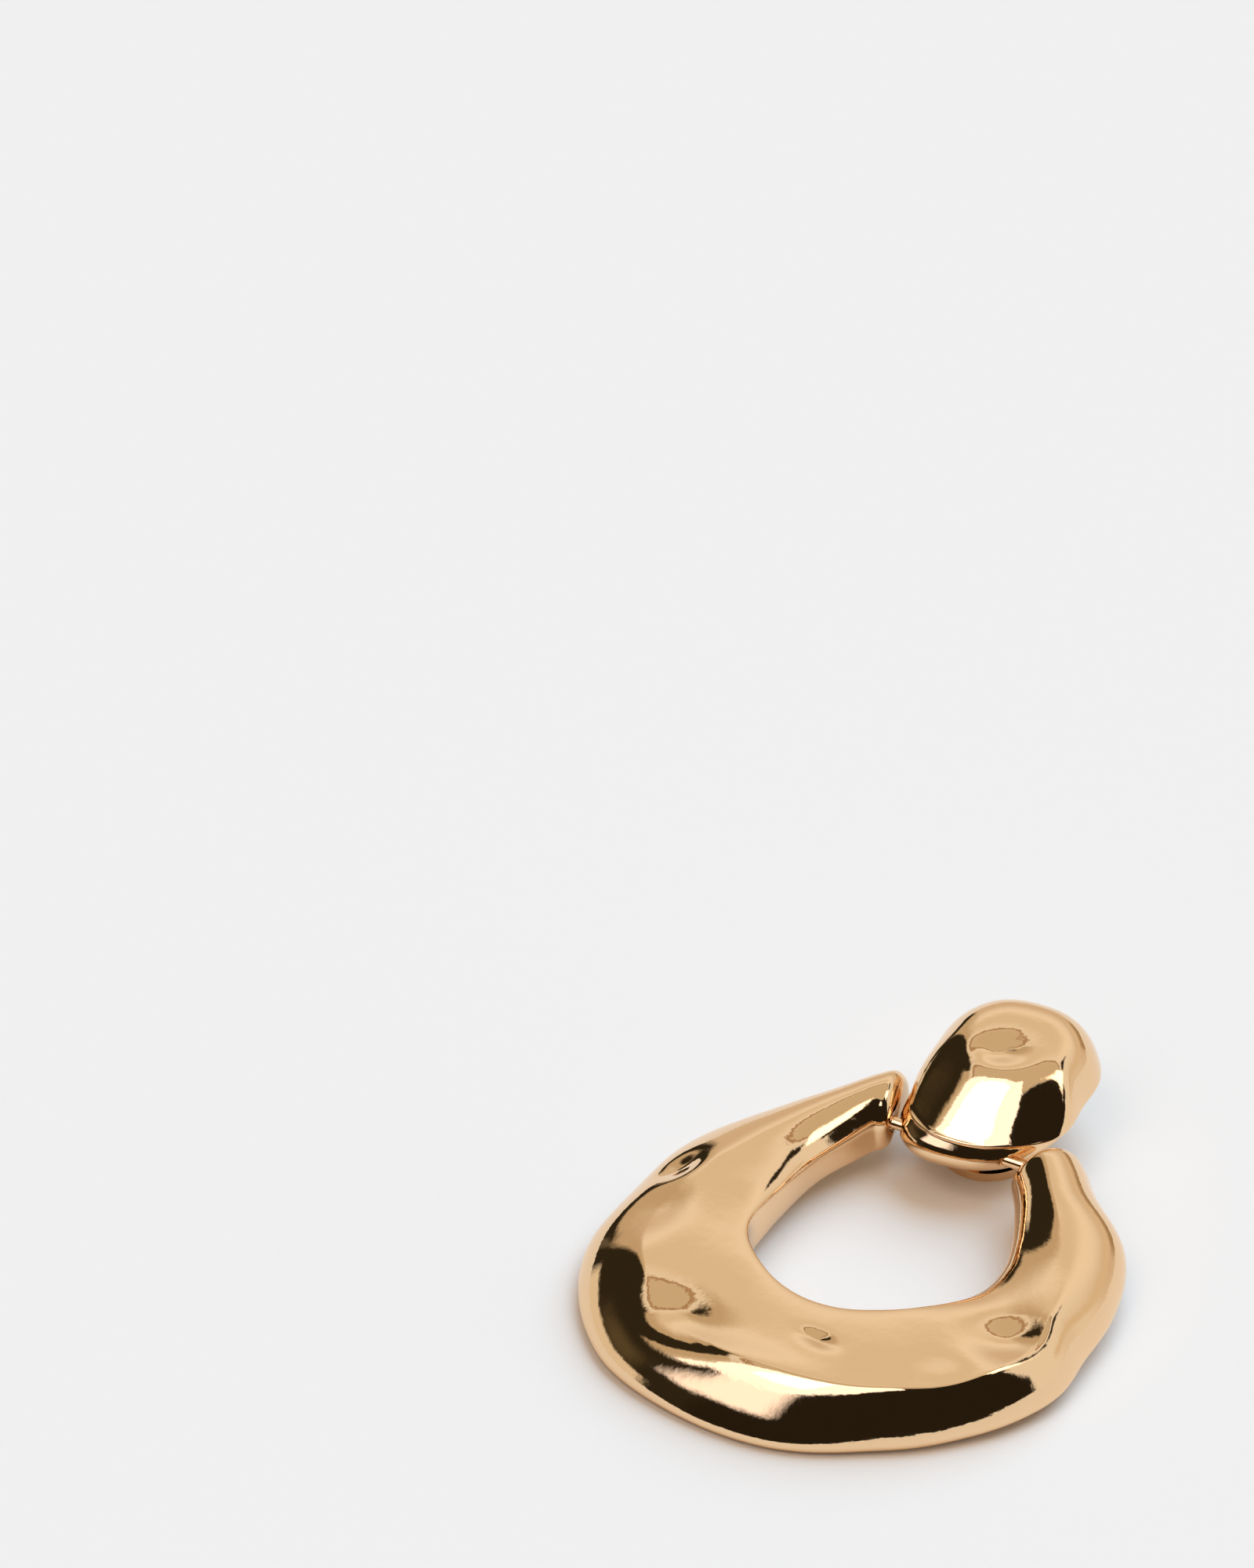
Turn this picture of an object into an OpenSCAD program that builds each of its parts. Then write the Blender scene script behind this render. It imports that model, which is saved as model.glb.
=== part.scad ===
// Doorknocker earring: a pebble-shaped stud with a clip back, and a broad hammered ring
// that swings below it on a hinge pin. The earring lies face up on its back.
// Frame: +Z up, +X to the viewer's right, +Y from the ring to the stud. Millimetres.

/* [Ring] */
// Greatest thickness of the ring, back to crest
ring_thick = 4.5; // [3.6:0.1:5.4]
// How deep the hammered dents are, as a share of the table's depths
dent_share = 1; // [0:0.1:1.3]
// Rounding of the two arm ends
arm_round = 1.0; // [0.6:0.1:1.3]
// Sections along the ring
ring_steps = 100; // [60:4:110]

/* [Stud] */
// Height of the dome above its lip
dome_rise = 5.0; // [4:0.1:6.5]
// Fullness of the dome (2 is an ellipse, more is a flatter crown with steeper sides)
dome_full = 2.5; // [2:0.1:3]
// Depth of the stud from its lip to its flat back
base_depth = 3.0; // [2.6:0.1:3.6]

/* [Hinge] */
// Diameter of the hinge pin
pin_d = 1.0; // [0.8:0.1:1.2]
// Running clearance round the pin in the arms, on the radius
pin_play = 0.05; // [0.03:0.01:0.1]
// How far the pin reaches into each arm
pin_reach = 2.0; // [1.5:0.1:2.6]

/* [Clip] */
// Thickness of the clip's metal
clip_thick = 0.8; // [0.6:0.1:1.0]
// Width of the clip's tongue
clip_w = 5.0; // [4:0.5:6]

/* [Rest] */
// Slope of the ring when the earring lies on a table
rest_tilt = 3.8; // [3:0.1:5]

/* [Hidden] */
$fn = 96;

// The ring's sections fan out from this point in the hole.
fan = [1.6, -3.2];
// turn: direction of the section; inner, outer: reach of its two edges; lean: extra turn of the outer edge;
// wall: height of the inner wall; crest: greatest height; place: where the crest lies, as a share of the
// width; flank, roll: fullness of the outer and the inner curve (2 is an ellipse, less is flatter)
A = 0; INNER = 1; OUTER = 2; LEAN = 3; WALL = 4; CREST = 5; PLACE = 6; FLANK = 7; ROLL = 8;
ring_table = [
    [121, 12.0, 18.2, -8, 2.2, 5.0, 0.50, 2.0, 2.0],
    [133, 10.8, 17.0, -2, 2.2, 4.8, 0.50, 1.9, 2.0],
    [150, 10.0, 17.9, 0, 2.4, 4.6, 0.46, 1.7, 2.0],
    [168, 9.6, 19.9, 0, 2.8, 4.5, 0.46, 1.5, 2.4],
    [186, 9.9, 21.2, 0, 3.2, 4.5, 0.56, 1.45, 3.0],
    [206, 10.9, 23.8, 0, 3.9, 4.5, 0.60, 1.45, 4.0],
    [228, 10.6, 24.6, 0, 4.1, 4.5, 0.62, 1.5, 4.0],
    [250, 10.2, 23.1, 0, 4.1, 4.5, 0.63, 1.4, 4.0],
    [270, 9.7, 21.9, 0, 4.1, 4.5, 0.64, 1.35, 4.0],
    [290, 9.1, 20.2, 0, 4.1, 4.5, 0.74, 1.25, 4.0],
    [308, 9.0, 19.6, 0, 4.1, 4.5, 0.79, 1.2, 4.0],
    [322, 9.0, 19.7, 0, 3.7, 4.5, 0.78, 1.3, 3.0],
    [337, 9.1, 19.5, 0, 3.0, 4.5, 0.74, 1.5, 2.2],
    [350, 9.1, 18.4, 0, 2.4, 4.5, 0.68, 1.6, 1.9],
    [366, 9.1, 18.4, 0, 1.9, 4.5, 0.54, 1.9, 1.7],
    [384, 9.4, 18.2, 0, 1.8, 4.6, 0.44, 2.1, 1.6],
    [400, 10.0, 16.9, 0, 1.8, 4.8, 0.44, 2.0, 1.6],
    [416, 11.0, 17.3, -2, 2.0, 5.0, 0.46, 2.0, 1.8]
];
// Dents in the ring's face: x, y of the middle, half length, half width, turn of the length, depth
ring_dents = [
    [-16.1, -3.8, 1.6, 1.1, 60, 0.80],
    [-15.8, -9.4, 3.2, 1.8, 70, 0.65],
    [-9.2, -18.6, 3.8, 2.0, 170, 0.65],
    [1.9, -16.6, 1.3, 0.5, 170, 0.45],
    [15.0, -10.2, 3.0, 2.2, 20, 0.70],
    [12.6, -16.2, 2.8, 2.0, 40, 0.35],
    [-1.0, -20.5, 5.0, 1.5, 0, -0.20]
];

// The stud's sections fan out from this point.
stud_mid = [2.6, 15.0];
// Reach of the dome's lip and of the base, every 30 degrees from +X
LIP = 1; BASE = 2;
stud_table = [
    [0, 7.0, 6.2],
    [30, 7.9, 6.9],
    [60, 8.3, 7.1],
    [90, 7.8, 7.0],
    [120, 7.6, 6.8],
    [150, 7.0, 6.2],
    [180, 6.4, 5.9],
    [210, 7.0, 7.4],
    [240, 8.5, 9.3],
    [270, 8.1, 8.6],
    [300, 7.8, 7.8],
    [330, 7.9, 6.6]
];
// Flat faces hammered on the dome: direction each one faces, slope, distance of its foot from the middle
// at the lip's height, softness of its edges
dome_faces = [
    [278, 35, 7.9, 0.25],
    [233, 37, 8.0, 0.30],
    [312, 40, 7.8, 0.25],
    [292, 8, 28.0, 0.30]
];
// Dents in the dome, with the same columns as the ring's
dome_dents = [
    [2.6, 14.4, 1.8, 1.2, 26, 0.50]
];
// The base's side, from the flat back up to the lip: height as a share of the base's depth, inset
base_profile = [
    [0.00, 3.6],
    [0.00, 1.7],
    [0.10, 0.8],
    [0.28, 0.25],
    [0.50, 0.0],
    [0.75, 0.15],
    [0.93, 0.7]
];

edge_low = 0.6;     // height of the ring's widest line
table_thick = 4.5;  // the ring's thickness that its table is written for
dent_fade = 1.5;    // the dents fade in over this height above the widest line
foot = 0.5;         // rounding under the hole's edge
wall_n = 3;
roll_n = 16;
roll_even = 1.7;    // draws the inner curve's points towards the crest
flank_n = 14;
under_n = 6;
back_n = 3;
cap_n = 4;
lip_turn = 22;      // the dome starts this far up its curve, so the lip is an edge
crown = [0.3, 0.6];   // shift of the dome's top
dome_n = 18;
stud_n = 64;
lip_tuck = 0.25;    // the lip's underside
lip_h = 0.2;
pin_at = [1.45, 8.5];  // middle of the hinge line
pin_drop = 1.7;     // the pin above the stud's back
knuckle = 2.4;      // the pin's height in the arms, above the ring's back
bore_end = 0.3;     // the bores end this far past the pin
pad_at = [-0.5, -1.5]; // middle of the clip's pad, from the stud's
root_at = [-0.5, 2.8]; // near side of the block at the clip's other end
root_len = 2.4;
pad_d = 7.8;
clip_gap = 0.1;     // between the block and the stud's back
pin_left = -3.2;    // where the base's sides stand on the hinge line
pin_right = 6.3;
far = 40;

function total(v) = v * [for (i = v) 1];
function middle(row) = [for (k = [0 : 2]) total([for (p = row) p[k]]) / len(row)];
function at(rows, x) =
    let (n = len(rows) - 1, i = min(floor(x), n - 1), f = x - i,
         b = rows[i], c = rows[i + 1],
         a = i > 0 ? rows[i - 1] : 2 * b - c,
         d = i + 2 <= n ? rows[i + 2] : 2 * c - b)
    0.5 * (2 * b + (c - a) * f + (2 * a - 5 * b + 4 * c - d) * pow(f, 2)
        + (3 * b - a - 3 * c + d) * pow(f, 3));
function around(rows, col, deg) =
    let (n = len(rows), x = deg * n / 360, i = floor(x), f = x - i,
         a = rows[(i + n - 1) % n][col], b = rows[i % n][col],
         c = rows[(i + 1) % n][col], d = rows[(i + 2) % n][col])
    0.5 * (2 * b + (c - a) * f + (2 * a - 5 * b + 4 * c - d) * pow(f, 2)
        + (3 * b - a - 3 * c + d) * pow(f, 3));
function dent(x, y, rows) = total([
    for (d = rows)
        let (u = x - d[0], v = y - d[1],
             p = (u * cos(d[4]) + v * sin(d[4])) / d[2],
             q = (v * cos(d[4]) - u * sin(d[4])) / d[3])
        dent_share * d[5] * exp(-p * p - q * q)
]);
function spot(turn, reach) = fan + reach * [cos(turn), sin(turn)];

// One section's outline as [share of the width, height], from under the hole's edge round to the back
function outline(s, w, k) = [
    for (i = [0 : wall_n - 1])
        let (t = 90 * i / wall_n) [foot * (1 - sin(t)) / w, foot * (1 - cos(t))],
    for (i = [0 : roll_n - 1])
        let (t = 90 * (1 - pow(1 - i / roll_n, roll_even)))
        [s[PLACE] * (1 - pow(cos(t), 2 / s[ROLL])),
         k * (s[WALL] + (s[CREST] - s[WALL]) * pow(sin(t), 2 / s[ROLL]))],
    for (i = [0 : flank_n - 1])
        let (t = 90 * i / flank_n)
        [s[PLACE] + (1 - s[PLACE]) * pow(sin(t), 2 / s[FLANK]),
         edge_low + (k * s[CREST] - edge_low) * pow(cos(t), 2 / s[FLANK])],
    for (i = [0 : under_n - 1])
        let (t = 90 * i / under_n) [1 - edge_low * (1 - cos(t)) / w, edge_low * (1 - sin(t))],
    for (i = [0 : back_n - 1])
        let (t = i / back_n) [(1 - edge_low / w) * (1 - t) + foot / w * t, 0]
];
// A section in space. step moves it along the ring, inset draws it in towards its middle.
function section(s, step, inset) =
    let (k = ring_thick / table_thick,
         a = spot(s[A], s[INNER]), b = spot(s[A] + s[LEAN], s[OUTER]),
         w = norm(b - a), d = (b - a) / w, n = [-d[1], d[0]],
         mid = knuckle * k)
    [
        for (p = outline(s, w, k))
            let (u = w / 2 + w * (p[0] - 0.5) * (1 - 2 * inset / w),
                 z = mid + (p[1] - mid) * (1 - inset / mid),
                 q = a + d * u + n * step,
                 top = min(1, max(0, (z - edge_low) / dent_fade)))
            [q[0], q[1], z - top * dent(q[0], q[1], ring_dents)]
    ];
ring_rows = [
    for (i = [0 : cap_n - 1])
        let (t = 90 * i / cap_n) section(ring_table[0], -arm_round * cos(t), arm_round * (1 - sin(t))),
    for (i = [0 : ring_steps])
        section(at(ring_table, i * (len(ring_table) - 1) / ring_steps), 0, 0),
    for (i = [1 : cap_n])
        let (t = 90 * i / cap_n)
        section(ring_table[len(ring_table) - 1], arm_round * sin(t), arm_round * (1 - cos(t)))
];
// The ring lies with its far edge on the table and its arms raised.
function tip(p) = [p[0], p[1] * cos(rest_tilt) - p[2] * sin(rest_tilt),
                   p[1] * sin(rest_tilt) + p[2] * cos(rest_tilt)];
tipped = [for (row = ring_rows) [for (p = row) tip(p)]];
ring_low = min([for (row = tipped) min([for (p = row) p[2]])]);
pin_tip = tip([0, pin_at[1], knuckle * ring_thick / table_thick]);
pin_y = pin_tip[1];
pin_z = pin_tip[2] - ring_low;

back_z = pin_z - pin_drop;
lip_z = back_z + base_depth;
function stud_row(col, inset, z, k) = [
    for (i = [0 : stud_n - 1])
        let (t = 360 * i / stud_n, r = (around(stud_table, col, t) - inset) * k)
        [stud_mid[0] + r * cos(t), stud_mid[1] + r * sin(t), z]
];
function pressed(x, y, z, i) =
    i == len(dome_faces) ? z :
    let (f = dome_faces[i],
         along = (x - stud_mid[0]) * cos(f[0]) + (y - stud_mid[1]) * sin(f[0]),
         flat = lip_z + lip_h + tan(f[1]) * (f[2] - along),
         low = min(z, flat), high = max(z, flat))
    pressed(x, y, low - f[3] * ln(1 + exp((low - high) / f[3])), i + 1);
function dome_row(t) =
    let (e = 2 / dome_full, lip_sin = pow(sin(lip_turn), e),
         r = pow(cos(t) / cos(lip_turn), e), h = (pow(sin(t), e) - lip_sin) / (1 - lip_sin))
    [
        for (p = stud_row(LIP, 0, lip_z + lip_h + dome_rise * h, r))
            let (x = p[0] + crown[0] * h, y = p[1] + crown[1] * h)
            [x, y, max(lip_z + lip_h, pressed(x, y, p[2], 0) - min(1, 2 * h) * dent(x, y, dome_dents))]
    ];
stud_rows = [
    for (p = base_profile) stud_row(BASE, p[1], back_z + p[0] * base_depth, 1),
    stud_row(LIP, lip_tuck, lip_z, 1),
    for (i = [0 : dome_n - 1]) dome_row(lip_turn + (90 - lip_turn) * i / dome_n)
];

// The middle of the earring's box, moved to the origin
all_x = [for (row = tipped) for (p = row) p[0]];
low_y = min([for (row = tipped) min([for (p = row) p[1]])]);
high_y = max([for (row = stud_rows) max([for (p = row) p[1]])]);
box_mid = [(min(all_x) + max(all_x)) / 2, (low_y + high_y) / 2];

// Closes rows of points into a solid, with a middle point at each end.
module loft(rows) {
    n = len(rows[0]);
    m = len(rows);
    points = [
        for (row = rows) for (p = row) p,
        middle(rows[0]),
        middle(rows[m - 1])
    ];
    faces = [
        for (i = [0 : m - 2]) for (j = [0 : n - 1])
            let (a = i * n + j, b = i * n + (j + 1) % n)
            each [[a, b + n, b], [a, a + n, b + n]],
        for (j = [0 : n - 1]) [m * n, j, (j + 1) % n],
        for (j = [0 : n - 1]) [m * n + 1, (m - 1) * n + (j + 1) % n, (m - 1) * n + j]
    ];
    polyhedron(points = points, faces = faces, convexity = 6);
}
module along_x(x0, x1, d) {
    translate([x0, pin_y, pin_z])
        rotate([0, 90, 0])
            cylinder(h = x1 - x0, d = d);
}

module drop_ring() {
    bore_d = pin_d + 2 * pin_play;
    color("goldenrod")
        difference() {
            translate([0, 0, -ring_low])
                loft(tipped);
            along_x(pin_left - pin_reach - bore_end, pin_at[0], bore_d);
            along_x(pin_at[0], pin_right + pin_reach + bore_end, bore_d);
        }
}

module stud_dome() {
    color("gold")
        difference() {
            loft(stud_rows);
            along_x(pin_left - far, pin_right + far, pin_d);
        }
}

module hinge_pin() {
    color("darkgoldenrod")
        along_x(pin_left - pin_reach, pin_right + pin_reach, pin_d);
}

// A flat tongue under the stud: a round pad, and a block that stands up to the stud's back
module ear_clip() {
    pad = stud_mid + pad_at;
    root = stud_mid + root_at;
    color("khaki") {
        linear_extrude(clip_thick) {
            translate(pad)
                circle(d = pad_d);
            translate([pad[0] - clip_w / 2, pad[1]])
                square([clip_w, root[1] + root_len - pad[1]]);
        }
        translate([root[0] - clip_w / 2, root[1], 0])
            cube([clip_w, root_len, back_z - clip_gap]);
    }
}

module placed() {
    translate([-box_mid[0], -box_mid[1], 0])
        children();
}

placed() drop_ring();
placed() stud_dome();
placed() hinge_pin();
placed() ear_clip();
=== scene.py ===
"""A doorknocker earring in polished gold plate, face up on a pale table under soft studio light.

Metres, in the part's own frame: +X along the hinge pin, +Y from the ring to the stud, +Z up.
"""

import math

import bmesh
import bpy
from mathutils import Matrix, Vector


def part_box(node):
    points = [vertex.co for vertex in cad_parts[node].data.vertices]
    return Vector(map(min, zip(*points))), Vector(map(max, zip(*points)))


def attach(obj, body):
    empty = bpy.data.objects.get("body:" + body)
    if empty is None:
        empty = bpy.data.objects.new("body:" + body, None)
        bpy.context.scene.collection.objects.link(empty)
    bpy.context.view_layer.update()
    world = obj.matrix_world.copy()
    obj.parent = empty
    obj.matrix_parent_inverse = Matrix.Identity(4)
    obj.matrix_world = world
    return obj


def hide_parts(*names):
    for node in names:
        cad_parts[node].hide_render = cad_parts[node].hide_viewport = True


MM = 0.001

# Camera: where it stands from the point that it looks at
LOOK_AT = Vector((-42.69, 41.46, 0.0)) * MM
CAMERA_TURN = -63.5
CAMERA_RISE = 40.5
CAMERA_AWAY = 893.4 * MM
LENS = 252.0
CAMERA_SIGHT = (0.05, 20.0)

# Table
TABLE_SIZE = 4.0
TABLE_COLOUR = "F2F2F2"
TABLE_ROUGHNESS = 0.8
TABLE_SHINE = 0.2
TABLE_GLOW = 0.02
BACKDROP = (0.86, 0.86, 0.86)

# Soft lamp from behind the earring, which lights the table and isn't mirrored in the metal
LAMP_TURN = 140
LAMP_RISE = 52
LAMP_SPREAD = 58
LAMP_POWER = 2.5
LAMP_COLOUR = (0.47, 0.745, 0.985)

# Warm tint of the room's own light on the table, which the lamp's cooler light evens out
ROOM_TINT = (0.90, 0.68, 0.47, 1.0)

# Gold plate
GOLD = "F3CEA2"
GOLD_ROUGHNESS = 0.045

# Hammered skin: how wide the soft waves are and how high they stand
HAMMERING = {
    "waves": (9.0 * MM, 0.16 * MM),
    "peening": (3.2 * MM, 0.022 * MM),
}
# The faint ripple that buffing leaves, in the material
RIPPLE_WIDTH = 0.8 * MM
RIPPLE_HEIGHT = 0.010 * MM
RIPPLE_DETAIL = 2.0
# How often a hammered skin is made finer
FINER_LEVELS = 2

# The bores keep their true walls, out to this reach from the pin's middle line
BORE_REACH = 0.8 * MM

# Rounding of the clip's edges
CLIP_EDGE = 0.2 * MM
CLIP_EDGE_STEPS = 3

# A skin's corners closer than this are one. Its triangles are paired into quads up to this fold and
# this skew, and an edge that turns by more than the last angle stays sharp.
MERGE_GAP = 0.002 * MM
PAIR_FOLD = math.radians(25)
PAIR_SKEW = math.radians(50)
SHARP_TURN = math.radians(40)


def linear(hex_colour):
    """An sRGB hex value as the linear colour a node takes."""
    channels = [int(hex_colour[i : i + 2], 16) / 255 for i in (0, 2, 4)]
    return [c / 12.92 if c <= 0.04045 else ((c + 0.055) / 1.055) ** 2.4 for c in channels] + [1.0]


def add_node(tree, kind, links=None, **settings):
    """Adds a node. settings are its properties, or its inputs where no property has the name."""
    node = tree.nodes.new(kind)
    for name, value in settings.items():
        if hasattr(node, name):
            setattr(node, name, value)
        else:
            node.inputs[name.replace("_", " ")].default_value = value
    for name, source in (links or {}).items():
        tree.links.new(source, node.inputs[name])
    return node


def direction(azimuth, elevation=0.0):
    """A unit vector. Azimuth runs from the camera's side of the table towards its right."""
    a, e = math.radians(CAMERA_TURN + azimuth), math.radians(elevation)
    return Vector((math.cos(a) * math.cos(e), math.sin(a) * math.cos(e), math.sin(e)))


# The studio: a pale screen all round the table, with panels on it. Each covers the ones before it.
# (azimuth of its middle, half width, lower edge, upper edge, softness across, softness up, colour)
SCREEN = (0.88, 0.88, 0.86, 1.0)
PANELS = {
    "ceiling": (0, 180, 66, 95, 0, 1.0, (0.65, 0.59, 0.47)),
    "screen_glow": (160, 25, 40, 62, 20, 12.0, (0.96, 0.93, 0.88)),
    "screen_foot": (180, 75, -5, 30, 20, 12.0, (0.70, 0.62, 0.52)),
    "screen_top": (-172, 30, 47, 60, 14, 5.0, (0.79, 0.74, 0.65)),
    "screen_frame": (180, 120, 63.5, 66, 6, 0.8, (0.45, 0.32, 0.20)),
    "screen_side": (-126, 35, -5, 60, 8, 2.0, (0.58, 0.50, 0.38)),
    "room": (-10, 70, -5, 52, 2, 2.0, (0.020, 0.016, 0.010)),
    "right_wall": (40, 26, 45, 66, 3, 2.0, (0.020, 0.016, 0.010)),
    "right_line": (122, 32, 13, 23, 5, 4.0, (0.76, 0.68, 0.56)),
    "right_dark": (140, 13, -5, 10, 5, 4.0, (0.42, 0.32, 0.20)),
    "right_flag": (113, 13, 49.5, 58, 3, 2.0, (0.030, 0.025, 0.015)),
    "left_flag": (-102, 44, -5, 49, 3, 3.0, (0.030, 0.025, 0.015)),
    "left_glow": (-98, 14, 14, 34, 10, 8.0, (0.100, 0.082, 0.048)),
    "left_foot": (-155, 9, -5, 13, 3, 3.0, (0.030, 0.025, 0.015)),
    "left_card": (-103, 30, -5, 13, 4, 2.0, (0.80, 0.76, 0.68)),
    "left_wall": (-128, 18, 40, 60, 3, 2.0, (0.030, 0.025, 0.015)),
    "left_window": (-52, 18, 31, 60, 7, 3.0, (1.45, 1.42, 1.60)),
    "window": (-36, 52, 50, 82, 2, 1.5, (1.7, 1.7, 1.9)),
    "window_middle": (-50, 18, 58, 76, 5, 3.0, (4.0, 4.0, 4.2)),
    "side_window": (72, 20, 52, 70, 3, 3.0, (2.5, 2.4, 2.3)),
}


def smooth_step(tree, value, low, high):
    """0 below low and 1 above high, or the other way round if low is the greater."""
    step = add_node(tree, "ShaderNodeMapRange", {"Value": value}, interpolation_type="SMOOTHSTEP")
    step.inputs["From Min"].default_value = low
    step.inputs["From Max"].default_value = high
    return step.outputs["Result"]


def panel_mask(tree, level, height, azimuth, half, low, high, soft_across, soft_up):
    """1 inside a panel and 0 outside it."""
    masks = []
    if half < 180:
        along = add_node(tree, "ShaderNodeVectorMath", {0: level}, operation="DOT_PRODUCT")
        along.inputs[1].default_value = direction(azimuth)
        outer = math.cos(math.radians(min(179.9, half + soft_across)))
        inner = math.cos(math.radians(max(0.1, half - soft_across)))
        masks.append(smooth_step(tree, along.outputs["Value"], outer, inner))
    for edge, sign in ((low, 1), (high, -1)):
        if abs(edge) < 90:
            outer, inner = (math.sin(math.radians(edge - s * sign * soft_up)) for s in (1, -1))
            masks.append(smooth_step(tree, height, outer, inner))
    mask = masks[0]
    for other in masks[1:]:
        mask = add_node(tree, "ShaderNodeMath", {0: mask, 1: other}, operation="MULTIPLY").outputs[0]
    return mask


def mix_colour(tree, factor, under, over, blend="MIX"):
    """Two colours mixed by a factor. over is a plain colour."""
    mix = add_node(tree, "ShaderNodeMix", data_type="RGBA", blend_type=blend)
    tree.links.new(factor, mix.inputs[0])
    tree.links.new(under, mix.inputs[6])
    mix.inputs[7].default_value = over
    return mix.outputs[2]


def build_studio():
    """The light: a bright room round the table. The camera itself sees only a plain pale backdrop."""
    world = bpy.data.worlds.new("studio")
    bpy.context.scene.world = world
    world.use_nodes = True
    tree = world.node_tree
    tree.nodes.clear()
    ray = add_node(tree, "ShaderNodeTexCoord").outputs["Generated"]
    x, y, height = add_node(tree, "ShaderNodeSeparateXYZ", {0: ray}).outputs
    flat = add_node(tree, "ShaderNodeCombineXYZ", {"X": x, "Y": y}).outputs[0]
    level = add_node(tree, "ShaderNodeVectorMath", {0: flat}, operation="NORMALIZE").outputs[0]
    colour = add_node(tree, "ShaderNodeRGB")
    colour.outputs[0].default_value = SCREEN
    colour = colour.outputs[0]
    for *extent, tint in PANELS.values():
        mask = panel_mask(tree, level, height, *extent)
        colour = mix_colour(tree, mask, colour, (*tint, 1.0))
    ray_kind = add_node(tree, "ShaderNodeLightPath").outputs
    colour = mix_colour(tree, ray_kind["Is Diffuse Ray"], colour, ROOM_TINT, "MULTIPLY")
    colour = mix_colour(tree, ray_kind["Is Camera Ray"], colour, (*BACKDROP, 1.0))
    background = add_node(tree, "ShaderNodeBackground", {"Color": colour})
    add_node(tree, "ShaderNodeOutputWorld", {"Surface": background.outputs[0]})


def build_lamp():
    """The soft lamp over the back of the table."""
    lamp = bpy.data.lights.new("lamp", "SUN")
    lamp.energy = LAMP_POWER
    lamp.color = LAMP_COLOUR
    lamp.angle = math.radians(LAMP_SPREAD)
    lamp_object = bpy.data.objects.new("lamp", lamp)
    bpy.context.scene.collection.objects.link(lamp_object)
    shine = -direction(LAMP_TURN, LAMP_RISE)
    lamp_object.rotation_euler = shine.to_track_quat("-Z", "Y").to_euler()
    lamp_object.visible_glossy = False


def build_camera():
    """A long lens, at the photo's angle to the table."""
    lens = bpy.data.cameras.new("camera")
    lens.lens = LENS
    lens.clip_start, lens.clip_end = CAMERA_SIGHT
    camera = bpy.data.objects.new("camera", lens)
    bpy.context.scene.collection.objects.link(camera)
    camera.location = LOOK_AT + CAMERA_AWAY * direction(0, CAMERA_RISE)
    camera.rotation_euler = (LOOK_AT - camera.location).to_track_quat("-Z", "Y").to_euler()
    bpy.context.scene.camera = camera


def table_material():
    """Matt white card."""
    material = bpy.data.materials.new("table_card")
    material.use_nodes = True
    shader = material.node_tree.nodes["Principled BSDF"]
    shader.inputs["Base Color"].default_value = linear(TABLE_COLOUR)
    shader.inputs["Roughness"].default_value = TABLE_ROUGHNESS
    shader.inputs["Specular IOR Level"].default_value = TABLE_SHINE
    shader.inputs["Emission Color"].default_value = (1.0, 1.0, 1.0, 1.0)
    shader.inputs["Emission Strength"].default_value = TABLE_GLOW
    return material


def build_table():
    """The flat surface that the earring lies on."""
    mesh = bpy.data.meshes.new("table")
    shape = bmesh.new()
    bmesh.ops.create_grid(shape, x_segments=1, y_segments=1, size=TABLE_SIZE / 2)
    shape.to_mesh(mesh)
    shape.free()
    mesh.materials.append(table_material())
    table = bpy.data.objects.new("table", mesh)
    bpy.context.scene.collection.objects.link(table)


def gold_material():
    """Polished gold plate over brass: a mirror with the faint ripple of buffed, hand-hammered metal."""
    material = bpy.data.materials.new("gold_plate")
    material.use_nodes = True
    tree = material.node_tree
    shader = tree.nodes["Principled BSDF"]
    shader.inputs["Base Color"].default_value = linear(GOLD)
    shader.inputs["Metallic"].default_value = 1.0
    shader.inputs["Roughness"].default_value = GOLD_ROUGHNESS
    place = add_node(tree, "ShaderNodeTexCoord").outputs["Object"]
    ripple = add_node(
        tree, "ShaderNodeTexNoise", {"Vector": place}, Scale=1 / RIPPLE_WIDTH, Detail=RIPPLE_DETAIL
    )
    bump = add_node(tree, "ShaderNodeBump", {"Height": ripple.outputs[0]}, Distance=RIPPLE_HEIGHT)
    tree.links.new(bump.outputs["Normal"], shader.inputs["Normal"])
    return material


def skin_of(node, name):
    """A copy of a part's solid with its split corners joined and its triangles paired."""
    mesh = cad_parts[node].data.copy()
    mesh.name = name
    shape = bmesh.new()
    shape.from_mesh(mesh)
    bmesh.ops.remove_doubles(shape, verts=shape.verts, dist=MERGE_GAP)
    bmesh.ops.join_triangles(
        shape, faces=shape.faces, angle_face_threshold=PAIR_FOLD, angle_shape_threshold=PAIR_SKEW
    )
    shape.to_mesh(mesh)
    shape.free()
    mesh.materials.clear()
    mesh.materials.append(GOLD_PLATE)
    piece = bpy.data.objects.new(name, mesh)
    bpy.context.scene.collection.objects.link(piece)
    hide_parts(node)
    return piece


def crisp(piece):
    """Smooth shading with crisp corners."""
    piece.data.shade_smooth()
    piece.data.set_sharp_from_angle(angle=SHARP_TURN)


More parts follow.
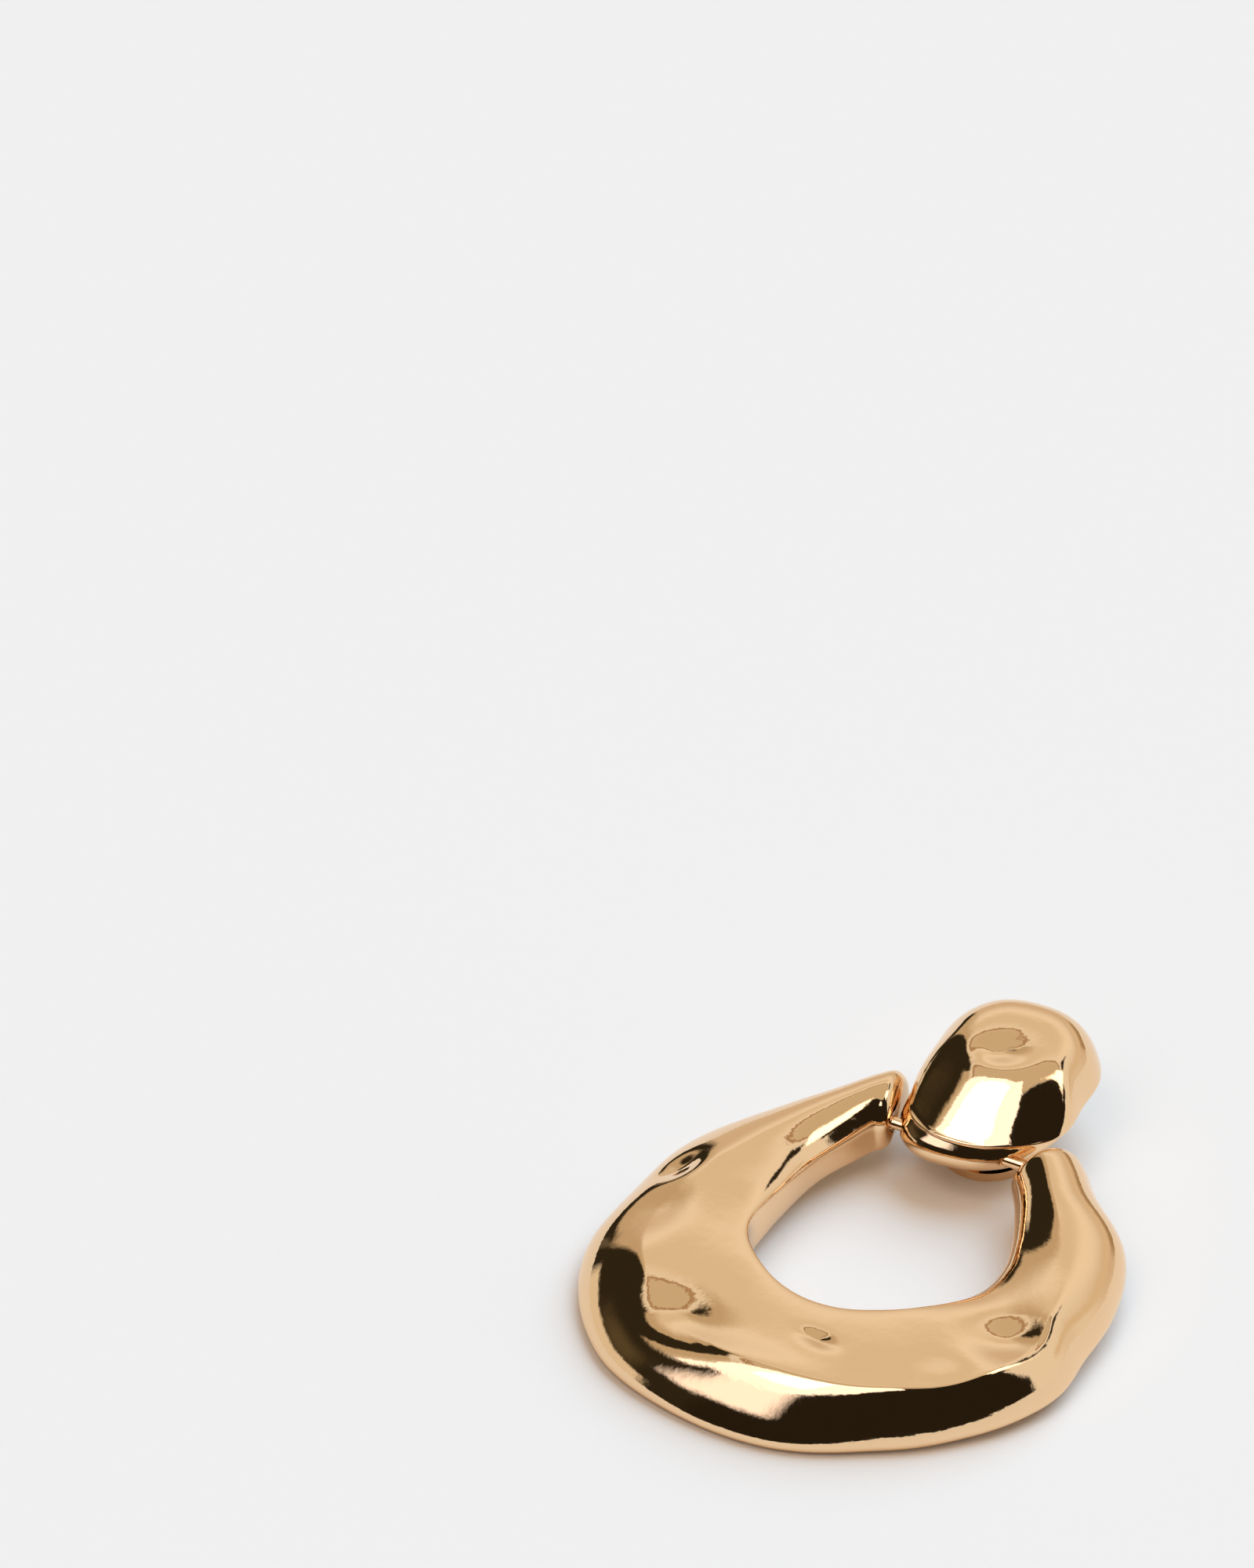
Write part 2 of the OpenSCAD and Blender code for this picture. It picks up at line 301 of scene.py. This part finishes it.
def keep_bores(piece):
    """Creases the walls of a piece's bores, so that they stay true.

    Gives the name of a group of all the other corners, which the waves move.
    """
    low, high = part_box("hinge_pin")
    mesh = piece.data
    group = piece.vertex_groups.new(name="clear_of_bores")
    in_bore = set()
    for corner in mesh.vertices:
        along, up = (corner.co[k] - (low[k] + high[k]) / 2 for k in (1, 2))
        if math.hypot(along, up) < BORE_REACH:
            in_bore.add(corner.index)
        else:
            group.add([corner.index], 1.0, "REPLACE")
    creases = mesh.edge_creases_ensure()
    for edge in mesh.edges:
        creases.data[edge.index].value = float(in_bore.issuperset(edge.vertices))
    return group.name


def hammered(piece):
    """Smooth shading and a finer skin, with soft hand-hammered waves and smaller ones over those."""
    piece.data.shade_smooth()
    finer = piece.modifiers.new("finer", "SUBSURF")
    finer.levels = finer.render_levels = FINER_LEVELS
    open_skin = keep_bores(piece)
    for name, (width, height) in HAMMERING.items():
        noise = bpy.data.textures.new(piece.name + "_" + name, "CLOUDS")
        noise.noise_scale = width
        noise.noise_depth = 0
        waves = piece.modifiers.new(name, "DISPLACE")
        waves.texture = noise
        waves.texture_coords = "LOCAL"
        waves.strength = 2 * height
        waves.mid_level = 0.5
        waves.vertex_group = open_skin


def build_ring():
    """The hammered drop."""
    ring = skin_of("drop_ring", "ring_skin")
    hammered(ring)
    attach(ring, "drop")


def build_stud():
    """The pebble-shaped stud."""
    stud = skin_of("stud_dome", "stud_skin")
    hammered(stud)
    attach(stud, "stud")


def build_pin():
    """The hinge pin."""
    pin = skin_of("hinge_pin", "pin_skin")
    crisp(pin)
    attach(pin, "stud")


def build_clip():
    """The clip behind the stud, with its edges eased."""
    clip = skin_of("ear_clip", "clip_skin")
    eased = clip.modifiers.new("eased", "BEVEL")
    eased.width = CLIP_EDGE
    eased.affect = "EDGES"
    eased.segments = CLIP_EDGE_STEPS
    eased.profile = 0.5
    eased.limit_method = "ANGLE"
    eased.angle_limit = SHARP_TURN
    crisp(clip)
    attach(clip, "stud")


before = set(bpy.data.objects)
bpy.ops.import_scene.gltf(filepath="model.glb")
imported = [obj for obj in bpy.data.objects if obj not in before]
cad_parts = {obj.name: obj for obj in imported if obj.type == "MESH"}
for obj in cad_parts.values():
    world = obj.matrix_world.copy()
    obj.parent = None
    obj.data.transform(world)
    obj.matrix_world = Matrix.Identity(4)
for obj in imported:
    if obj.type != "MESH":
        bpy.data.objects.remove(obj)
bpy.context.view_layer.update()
GOLD_PLATE = gold_material()
bpy.context.scene.view_settings.view_transform = "Standard"
build_studio()
build_lamp()
build_camera()
build_table()
build_ring()
build_stud()
build_pin()
build_clip()
